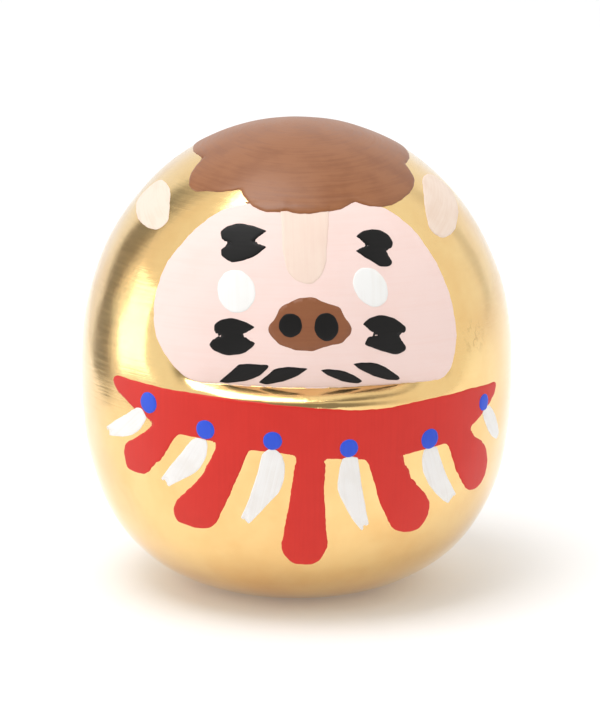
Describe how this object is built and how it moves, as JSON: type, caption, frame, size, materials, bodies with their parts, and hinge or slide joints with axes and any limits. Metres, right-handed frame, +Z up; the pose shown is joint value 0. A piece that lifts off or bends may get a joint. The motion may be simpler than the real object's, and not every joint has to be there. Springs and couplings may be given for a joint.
{
  "type": "daruma doll",
  "caption": "Gilded papier-mache egg doll on a weighted flat base, with a hollowed pink face, painted animal snout, scalloped hair cap and a fringed red bib.",
  "frame": {"origin": "centre of the flat base, on the surface that the doll stands on", "axes": "+Z up the doll's axis, -Y out of its face, +X to the right of someone facing it"},
  "size_m": [0.092, 0.0922, 0.0999],
  "materials": {
    "clay": "matte",
    "glue": "satin",
    "pulp": "matte",
    "paper_tape": "matte",
    "chalk": "matte",
    "gold_leaf": "gloss",
    "pink_paint": "satin",
    "cream_paint": "satin",
    "brown_paint": "satin",
    "black_paint": "satin",
    "white_paint": "satin",
    "red_paint": "satin",
    "blue_paint": "satin"
  },
  "bodies": {
    "root": {"weight": "clay", "weight_glue": "glue", "shell_front": "pulp", "shell_back": "pulp", "seam_tape": "paper_tape", "chalk_ground": "chalk", "gold_leaf": "gold_leaf", "face_panel": "pink_paint", "forehead_stripe": "cream_paint", "hair_cap": "brown_paint", "ear_left": "pink_paint", "ear_right": "pink_paint", "eye_left": "white_paint", "eye_right": "white_paint", "brow_left": "black_paint", "brow_right": "black_paint", "cheek_left": "black_paint", "cheek_right": "black_paint", "whisker_1": "black_paint", "whisker_2": "black_paint", "whisker_3": "black_paint", "whisker_4": "black_paint", "snout": "brown_paint", "nostril_left": "black_paint", "nostril_right": "black_paint", "bib": "red_paint", "bead_1": "blue_paint", "bead_2": "blue_paint", "bead_3": "blue_paint", "bead_4": "blue_paint", "bead_5": "blue_paint", "bead_6": "blue_paint", "tassel_1": "white_paint", "tassel_2": "white_paint", "tassel_3": "white_paint", "tassel_4": "white_paint", "tassel_5": "white_paint", "tassel_6": "white_paint"}
  },
  "joints": []
}
